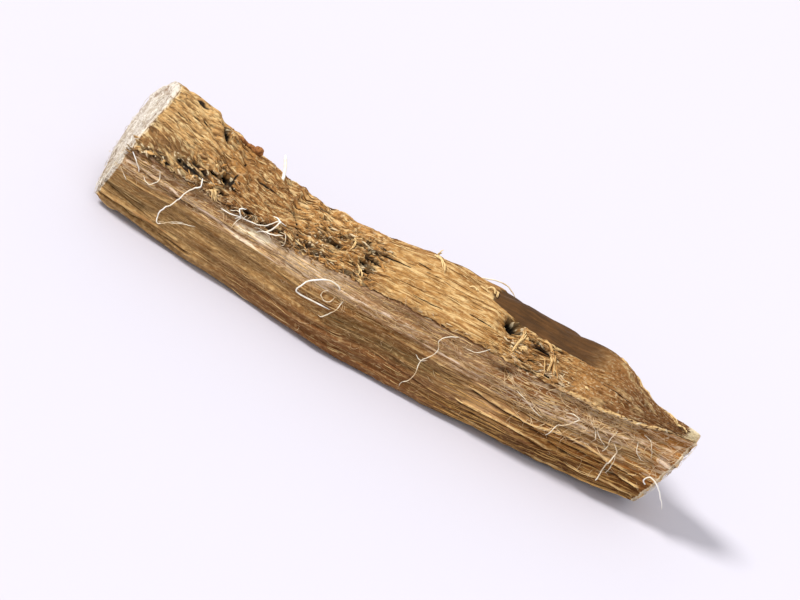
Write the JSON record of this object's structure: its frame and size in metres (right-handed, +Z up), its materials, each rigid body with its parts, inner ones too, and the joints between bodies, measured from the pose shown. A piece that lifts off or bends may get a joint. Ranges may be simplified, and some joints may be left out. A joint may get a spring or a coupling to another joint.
{
  "type": "dried marshmallow root piece",
  "caption": "Cut piece of dried marshmallow root, split lengthwise, with furrowed bark over a fibrous split face and two cut ends.",
  "frame": {"origin": "middle of the root's footprint on the table, at table height", "axes": "+X along the root from its square cut to its oblique cut, +Z up, -Y towards the fibrous split face"},
  "size_m": [0.0584, 0.013, 0.012],
  "materials": {
    "dried_root": "matt furrowed bark with pale dry fibre on the split and cut faces"
  },
  "bodies": {
    "root": {"root_piece": "dried_root"}
  },
  "joints": []
}
